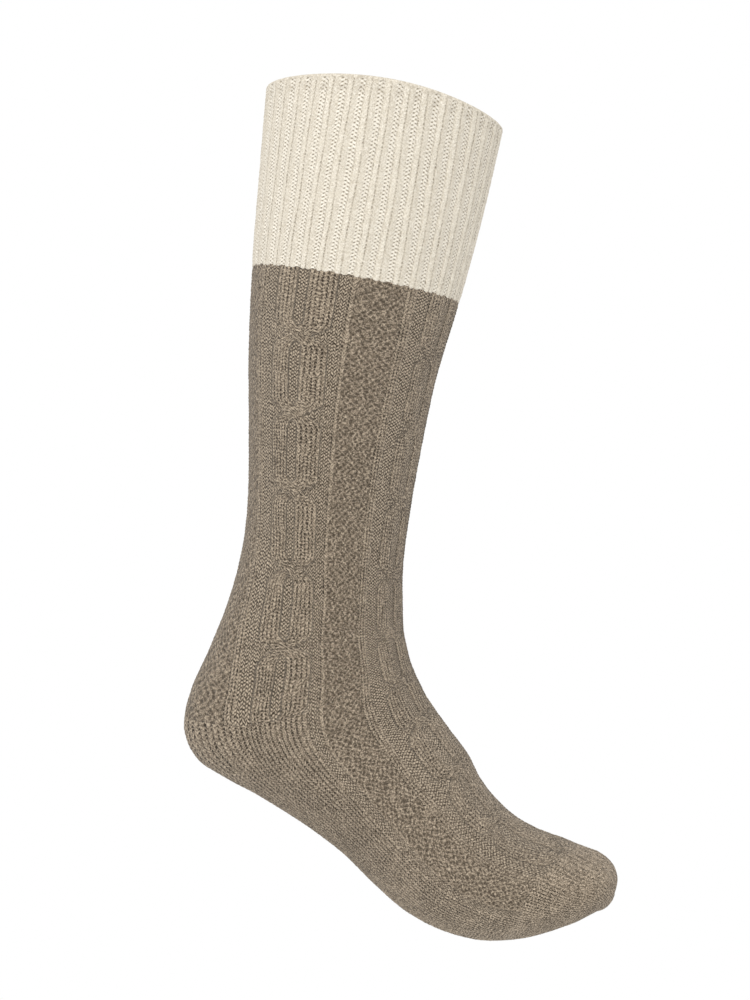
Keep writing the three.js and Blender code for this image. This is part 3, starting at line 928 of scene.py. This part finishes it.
    def fuzz(self, name, material, along_range, count, seed):
        """Fine fibres that stand off the wool, each a bent strip of four corners and a tip."""
        generator = np.random.default_rng(seed)
        stitch = generator.uniform(0, ROUND, count)
        along = generator.uniform(*along_range, count)
        root = self.shape.point(stitch, along, 0.0)
        out = self.shape.point(stitch, along, 1 * MM) - root
        out = out / np.linalg.norm(out, axis=1, keepdims=True)
        drift = generator.normal(size=(count, 3))
        drift = drift - out * (drift * out).sum(axis=1, keepdims=True)
        drift = drift / np.linalg.norm(drift, axis=1, keepdims=True)
        reach = self.knit.fuzz_length * generator.uniform(*FIBRE_REACH, (count, 1))
        stand = generator.uniform(*FIBRE_STAND, (count, 1))
        middle = root + (out * stand + drift * ROOT_LEAN) * reach * ROOT_PART
        curl = generator.normal(size=(count, 3)) * TIP_CURL
        tip = middle + (out * stand * TIP_STAND + drift * TIP_LEAN + curl) * reach * TIP_PART
        side = np.cross(out, drift) * self.knit.fuzz_width / 2
        bend = side * BEND_WIDTH
        corners = np.stack([root - side, root + side, middle - bend, middle + bend, tip], axis=1)
        base = np.arange(count)[:, None] * corners.shape[1]
        parts = MeshParts()
        # The fibres get a little painted shade.
        parts.add(corners, FIBRE_LIGHT, 0.0)
        parts.faces.append(np.concatenate([base + [0, 1, 3, 2], base + [2, 3, 4, 4]]))
        labels = np.stack([stitch, along / self.knit.row], axis=1)
        parts.uvs.append(np.repeat(np.concatenate([labels, labels])[:, None, :], 4, axis=1))
        return parts.build(name, material)


def arithmetic(operation, swapped=False):
    """Makes the method of one sign, such as plus, or its swapped form with the number in front."""

    def work(self, other):
        pair = (other, self) if swapped else (self, other)
        return self.math(operation, *pair)

    return work


class Value:
    """A shader value that takes part in Python expressions."""

    def __init__(self, shader, socket):
        self.shader = shader
        self.socket = socket

    def out(self, name):
        """Another output of the same node."""
        return Value(self.shader, self.socket.node.outputs[name])

    def math(self, operation, first, second=0.0):
        """The value of a sum or of another operation."""
        return self.shader.node("ShaderNodeMath", {"operation": operation}, {0: first, 1: second})

    __add__ = arithmetic("ADD")
    __radd__ = arithmetic("ADD", swapped=True)
    __sub__ = arithmetic("SUBTRACT")
    __rsub__ = arithmetic("SUBTRACT", swapped=True)
    __mul__ = arithmetic("MULTIPLY")
    __rmul__ = arithmetic("MULTIPLY", swapped=True)
    __pow__ = arithmetic("POWER")

    def whole(self):
        return self.math("FLOOR", self)

    def fraction(self):
        return self.math("FRACT", self)

    def size(self):
        return self.math("ABSOLUTE", self)

    def clamped(self):
        return self.math("MINIMUM", self.math("MAXIMUM", self, 0.0), 1.0)

    def swing(self):
        """Swings from 1 at each whole number to -1 halfway to the next."""
        return self.math("COSINE", self * (2 * math.pi))

    def wave(self):
        """1 at each whole number and 0 halfway to the next."""
        return self.swing() * 0.5 + 0.5

    def spread(self, low, high):
        """Spreads a share from 0 to 1 over low to high."""
        return self * (high - low) + low

    def smooth(self, low, high):
        """Rises smoothly from 0 at low to 1 at high."""
        settings = {"interpolation_type": "SMOOTHSTEP"}
        inputs = {"Value": self, "From Min": low, "From Max": high}
        return self.shader.node("ShaderNodeMapRange", settings, inputs)


class Shader:
    """A material whose nodes are made one by one."""

    def __init__(self, name):
        self.material = bpy.data.materials.new(name)
        self.material.use_nodes = True
        self.tree = self.material.node_tree
        self.tree.nodes.clear()

    def node(self, kind, settings=None, inputs=None):
        """Makes a node, sets its settings and then its inputs, and gives its first output."""
        made = self.tree.nodes.new(kind)
        for name, setting in (settings or {}).items():
            setattr(made, name, setting)
        for name, given in (inputs or {}).items():
            socket = made.inputs[name]
            if isinstance(given, Value):
                self.tree.links.new(given.socket, socket)
            else:
                socket.default_value = given
        return Value(self, made.outputs[0] if len(made.outputs) else None)

    def mix(self, factor, first, second):
        """Mixes two colours."""
        inputs = {0: factor, 6: first, 7: second}
        return self.node("ShaderNodeMix", {"data_type": "RGBA"}, inputs).out(2)


def rgba(values):
    """A colour with full alpha."""
    return (*values, 1.0)


class Wool(Shader):
    """Heather wool: fibres of several shades, with painted shade between the stitches, which also stand up
    as bump, and painted highlights on the raised yarn.

    heather is how much the fibres' shades differ. slits is how much painted shade darkens the gaps between
    the stitches, slit_start how far from the middle of a wale they begin, and holes how much painted shade
    darkens the rows of small holes in a purl valley.
    """

    def __init__(self, name, shades, heather, slits, slit_start, holes):
        super().__init__(name)
        self.heather = heather
        self.slits = slits
        self.slit_start = slit_start
        self.holes = holes
        uv = self.node("ShaderNodeUVMap", {"uv_map": "stitches"})
        self.wale = self.node("ShaderNodeSeparateXYZ", inputs={"Vector": uv})
        self.row = self.wale.out("Y")
        self.place = self.node("ShaderNodeTexCoord").out("Object")
        self.knit = self.field("knit")
        self.purl = self.field("purl")
        cells = self.flat((self.wale * 2).whole(), self.row.whole())
        self.own = self.node("ShaderNodeTexWhiteNoise", {"noise_dimensions": "2D"}, {"Vector": cells})
        self.fleck = self.noise(self.place, FLECK_SCALE, detail=1.0, roughness=0.5)
        self.finish(shades)

    def field(self, name):
        return self.node("ShaderNodeAttribute", {"attribute_name": name}).out("Fac")

    def flat(self, x, y):
        return self.node("ShaderNodeCombineXYZ", inputs={"X": x, "Y": y, "Z": 0.0})

    def noise(self, vector, scale, detail, roughness=0.6):
        inputs = {"Vector": vector, "Scale": scale, "Detail": detail, "Roughness": roughness}
        return self.node("ShaderNodeTexNoise", inputs=inputs)

    def patches(self, wales, rows, detail=1.0, roughness=0.6, start=None):
        """Smooth random numbers from 0 to 1, with so many patches to a wale and to a row."""
        across = self.wale * wales
        if start:
            across = across + start
        return self.noise(self.flat(across, self.row * rows), 1.0, detail, roughness)

    def stray(self, size, **patches):
        """Smooth random numbers around zero that range over the given size."""
        return (self.patches(**patches) - 0.5) * size

    def knit_side(self):
        """Painted shade in dashes between the wales and in faint lines between their stitches. Gives these
        gaps and a painted highlight on the middle of each stitch.
        """
        wobble = self.stray(0.5, wales=0.8, rows=0.5, detail=2.0)
        edge = ((self.wale + wobble).fraction() - 0.5).size() * 2
        shuffle = self.stray(2.4, wales=0.9, rows=0.35, detail=2.0)
        beat = (self.row + edge * DASH_LEAN + shuffle).wave()
        crisp = self.noise(self.place, BLUR_SCALE, detail=2.0).smooth(0.35, 0.65).spread(0.65, 1.35)
        dots = beat.smooth(0.15, 0.85).spread(0.1, 1.0)
        dash = edge.smooth(self.slit_start, 0.95) * dots * self.own.spread(0.75, 1.35)
        core = (1 - edge).smooth(0.4, 1.0) * beat * (self.slits * CORE_DEPTH)
        gap = (dash * DASH_DEPTH + core) * self.knit * crisp
        return gap, (1 - edge) * (1 - beat) * self.knit

    def purl_side(self):
        """Short strokes in columns, which lean one way and then the other. Gives the painted shade in the
        gaps, a painted highlight on the strokes, and the strokes.
        """
        column = self.wale * STROKE_COLUMNS + self.stray(0.7, wales=0.7, rows=0.4)
        across = column.fraction() - 0.5
        odd = (column.whole() * 0.5).fraction() * 2
        lean = self.patches(wales=0.35, rows=0.16).smooth(0.35, 0.65).spread(0.3, 0.8) * (1 - odd * 2)
        drift = self.row + odd * 0.5 + self.stray(0.9, wales=0.5, rows=0.25)
        broken = self.patches(wales=2.3, rows=1.1).smooth(0.3, 0.7)
        stroke = (drift + across * lean).wave()
        apart = (across.size() * 2).smooth(0.55, 1.0)
        bare = 1 - min(1.0, self.holes)
        between = stroke.smooth(0.25, 0.85) * broken.spread(0.3, 1.3) * (1 - apart)
        gap = (between + apart * COLUMN_GAP_DEPTH) * bare * self.purl
        highlight = (1 - stroke) ** HIGHLIGHT_EDGE * (1 - apart) * (STROKE_HIGHLIGHT - broken) * self.purl
        return gap, highlight, stroke

    def seed_side(self, stroke):
        """Bumps and hollows in turn, pushed about by the wool. Gives the painted shade in the hollows."""
        shift = self.stray(2.4, wales=0.45, rows=0.4, detail=2.0)
        slide = self.stray(1.3, wales=0.45, rows=0.4, detail=2.0, start=SLIDE_START)
        bumps = (self.wale * BUMPS_PER_WALE + shift).swing() * (self.row * BUMPS_PER_ROW + slide).swing()
        seed = 1 - self.knit - self.purl
        return (bumps.smooth(-0.45, 0.8) * SEED_DEPTH + stroke * SEED_STROKE_DEPTH) * seed

    def hole_side(self):
        """Small holes in two columns, one half a row below the other. Gives the painted shade in the holes
        and a painted highlight between them.
        """
        hole = (self.wale - 0.25).swing() * self.row.swing()
        sides = (hole.smooth(0.3, 0.95), (-1 * hole).smooth(0.0, 1.0))
        return [side * self.purl * self.holes for side in sides]

    def finish(self, shades):
        """Joins the sides of the knitting, tints them and makes the surface."""
        knit_gap, knit_highlight = self.knit_side()
        purl_gap, purl_highlight, stroke = self.purl_side()
        hole_gap, hole_highlight = self.hole_side()
        gap = (knit_gap + purl_gap + self.seed_side(stroke)) * self.slits
        speck = self.fleck.smooth(0.55, 0.7) * self.heather * SPECK_DEPTH
        # How lit each place is drawn: the painted shade of the point, the gaps, holes and hollows, darkened
        # too by the heather's dark specks.
        lit = (self.field("openness") * (1 - gap) * (1 - hole_gap) * (1 - speck)).clamped()

        streak = self.stray(1.1, wales=2.4, rows=1.2, detail=3.0, roughness=0.7)
        fibre = self.noise(self.place, FIBRE_SCALE, detail=2.0).smooth(0.3, 0.7) - 0.5
        grain = self.fleck.smooth(0.35, 0.65) - 0.5
        mottle = self.own * OWN_TONE - OWN_TONE / 2 + streak + fibre * FIBRE_TONE - grain * GRAIN_TONE
        # Painted highlights on the raised yarn, the strokes and the bumps between the holes, added into the
        # wool's tone and so into its colour.
        highlight = (knit_highlight * KNIT_HIGHLIGHT + purl_highlight * PURL_HIGHLIGHT - HIGHLIGHT_LOSS) * self.slits
        highlight = highlight + hole_highlight * HOLE_HIGHLIGHT
        tone = MIDDLE_TONE - self.slits * SLIT_TONE + mottle * self.heather + highlight
        tinted = self.mix(tone.smooth(0.0, 1.0), rgba(shades["dark"]), rgba(shades["light"]))

        height = lit * HOLLOW_BUMP + fibre * FIBRE_BUMP - grain * GRAIN_BUMP
        raised = {"Strength": 1.0, "Distance": BUMP_HEIGHT, "Height": height}
        bump = self.node("ShaderNodeBump", inputs=raised)
        inputs = {
            "Base Color": self.mix(lit, rgba(shades["shade_and_speck"]), tinted),
            "Roughness": 0.92,
            "Normal": bump,
            "Sheen Weight": 0.1,
            "Sheen Roughness": 0.5,
            "Specular IOR Level": 0.2,
        }
        surface = self.node("ShaderNodeBsdfPrincipled", inputs=inputs)
        self.node("ShaderNodeOutputMaterial", inputs={"Surface": surface})


def wool(scene, tint, **settings):
    """The wool of one tint, made once."""
    name = f"{tint} heather wool"
    shades = {shade: getattr(scene.sock_wool, f"{tint}_{shade}") for shade in ("light", "dark", "shade_and_speck")}
    return bpy.data.materials.get(name) or Wool(name, shades, **settings).material


def cream_wool(scene):
    """The cuff's wool."""
    return wool(scene, "cream", heather=0.4, slits=0.38, slit_start=0.62, holes=0.8)


def taupe_wool(scene):
    """The leg's and foot's wool."""
    return wool(scene, "taupe", heather=0.82, slits=0.92, slit_start=0.3, holes=0.0)


def dress(piece, node=None):
    """Gives a piece its body and hides the CAD part that it stands for."""
    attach(piece, "root")
    if node:
        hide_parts(node)


class SOCK_OT_cuff(bpy.types.Operator):
    """Knit the ribbed cream cuff with its rolled rim"""

    bl_idname = "sock.cuff"
    bl_label = "Cuff"

    def execute(self, context):
        knitter = Knitter(context.scene)
        dress(knitter.cuff("ribbed_cuff", cream_wool(context.scene)), "cuff")
        return {"FINISHED"}


class SOCK_OT_leg(bpy.types.Operator):
    """Knit the cabled leg in two meshes"""

    bl_idname = "sock.leg"
    bl_label = "Leg"

    def execute(self, context):
        knitter = Knitter(context.scene)
        shape = knitter.shape
        taupe = taupe_wool(context.scene)
        upper, middle_row = knitter.leg(
            "cabled_leg_upper", taupe, shape.leg_start, shape.leg_middle, 0, knitter.leg_start_flat
        )
        lower, last_row = knitter.leg(
            "cabled_leg_lower", taupe, shape.leg_middle, shape.heel_start, middle_row, knitter.leg_end_flat
        )
        context.scene["sock_leg_rows"] = last_row
        dress(upper, "leg")
        dress(lower, "leg")
        return {"FINISHED"}


class SOCK_OT_foot(bpy.types.Operator):
    """Knit the heel, instep, sole and toe"""

    bl_idname = "sock.foot"
    bl_label = "Foot"

    def execute(self, context):
        knitter = Knitter(context.scene)
        cable = knitter.cable
        plain = knitter.plain
        taupe = taupe_wool(context.scene)
        leg_row = context.scene["sock_leg_rows"]
        back = INSTEP_FIRST + HALF_ROUND
        heel_start = knitter.shape.heel_start
        sole_start = knitter.shape.sole_start
        toe_start = knitter.shape.toe_start
        instep, toe_row = knitter.half(
            "cabled_instep", taupe, cable, INSTEP_FIRST, heel_start, toe_start, leg_row, (False, True)
        )
        heel, sole_row = knitter.half(
            "plain_heel", taupe, plain, back, heel_start, sole_start, leg_row, (True, False)
        )
        sole, _ = knitter.half(
            "plain_sole", taupe, plain, back, sole_start, toe_start, sole_row, (False, True)
        )
        toe = knitter.toe("plain_toe", taupe, toe_row)
        for piece, node in ((instep, "instep"), (heel, "heel"), (sole, "sole"), (toe, "toe")):
            dress(piece, node)
        return {"FINISHED"}


class SOCK_OT_fuzz(bpy.types.Operator):
    """Raise fine fibres off the wool"""

    bl_idname = "sock.fuzz"
    bl_label = "Fuzz"

    def execute(self, context):
        knitter = Knitter(context.scene)
        count = knitter.knit.fuzz_count
        cream_count = int(count * knitter.knit.cream_share)
        cuff = (FIBRE_START, knitter.sizes.cuff_height)
        rest = (knitter.sizes.cuff_height, knitter.shape.tip)
        cream = knitter.fuzz("cream_fibres", cream_wool(context.scene), cuff, cream_count, CREAM_FIBRE_SEED)
        taupe = knitter.fuzz(
            "taupe_fibres", taupe_wool(context.scene), rest, count - cream_count, TAUPE_FIBRE_SEED
        )
        dress(cream)
        dress(taupe)
        return {"FINISHED"}


class SOCK_OT_stage(bpy.types.Operator):
    """Set the camera, the lights, the white studio and the floor"""

    bl_idname = "sock.stage"
    bl_label = "Stage"

    def execute(self, context):
        scene = context.scene
        stage = scene.sock_stage
        camera = bpy.data.cameras.new("camera")
        camera.lens = camera.sensor_width * stage.camera_distance / stage.view_height
        camera.clip_start = stage.near_limit
        camera.clip_end = stage.far_limit
        seen = bpy.data.objects.new("camera", camera)
        seen.location = (stage.camera_x, -stage.camera_distance, stage.camera_z)
        seen.rotation_euler = (math.pi / 2, 0, 0)
        scene.collection.objects.link(seen)
        scene.camera = seen

        world = bpy.data.worlds.new("white studio")
        world.use_nodes = True
        background = world.node_tree.nodes["Background"]
        background.inputs["Color"].default_value = rgba((1.0, 1.0, 1.0))
        background.inputs["Strength"].default_value = stage.sky
        scene.world = world
        scene.view_settings.view_transform = "Standard"

        middle = Vector((stage.camera_x, 0, stage.camera_z))
        for name, offset, size, strength in LAMPS:
            lamp = bpy.data.lights.new(name, "AREA")
            lamp.size = size
            lamp.energy = stage.key * strength
            light = bpy.data.objects.new(name, lamp)
            light.location = middle + Vector(offset)
            light.rotation_euler = (-Vector(offset)).to_track_quat("-Z", "Y").to_euler()
            scene.collection.objects.link(light)

        shader = Shader("pale floor")
        inputs = {"Base Color": rgba((0.9, 0.9, 0.9)), "Roughness": 0.8}
        surface = shader.node("ShaderNodeBsdfPrincipled", inputs=inputs)
        shader.node("ShaderNodeOutputMaterial", inputs={"Surface": surface})
        half = stage.floor_half
        mesh = bpy.data.meshes.new("floor")
        corners = [(-half, -half, 0), (half, -half, 0), (half, half, 0), (-half, half, 0)]
        mesh.from_pydata(corners, [], [(0, 1, 2, 3)])
        mesh.materials.append(shader.material)
        floor = bpy.data.objects.new("floor", mesh)
        floor.location = (0, 0, -stage.floor_drop)
        scene.collection.objects.link(floor)
        return {"FINISHED"}


OPERATORS = (SOCK_OT_cuff, SOCK_OT_leg, SOCK_OT_foot, SOCK_OT_fuzz, SOCK_OT_stage)


class SOCK_PT_panel(bpy.types.Panel):
    """The sock's sizes, colours and pieces"""

    bl_idname = "SOCK_PT_panel"
    bl_label = "Knitted Knee Sock"
    bl_space_type = "VIEW_3D"
    bl_region_type = "UI"
    bl_category = "Sock"

    def draw(self, context):
        layout = self.layout
        for operator in OPERATORS:
            layout.operator(operator.bl_idname)
        for name, group in SCENE_GROUPS.items():
            box = layout.box()
            box.label(text=group.__doc__)
            for field in group.__annotations__:
                box.prop(getattr(context.scene, name), field)


CLASSES = (*SCENE_GROUPS.values(), *OPERATORS, SOCK_PT_panel)


def register():
    for made in CLASSES:
        bpy.utils.register_class(made)
    for name, group in SCENE_GROUPS.items():
        setattr(bpy.types.Scene, name, PointerProperty(type=group))


def unregister():
    for name in SCENE_GROUPS:
        delattr(bpy.types.Scene, name)
    for made in reversed(CLASSES):
        bpy.utils.unregister_class(made)


def main():
    register()
    bpy.ops.sock.stage()
    bpy.ops.sock.cuff()
    bpy.ops.sock.leg()
    bpy.ops.sock.foot()
    bpy.ops.sock.fuzz()
    bpy.context.view_layer.update()


if __name__ == "__main__":
    main()
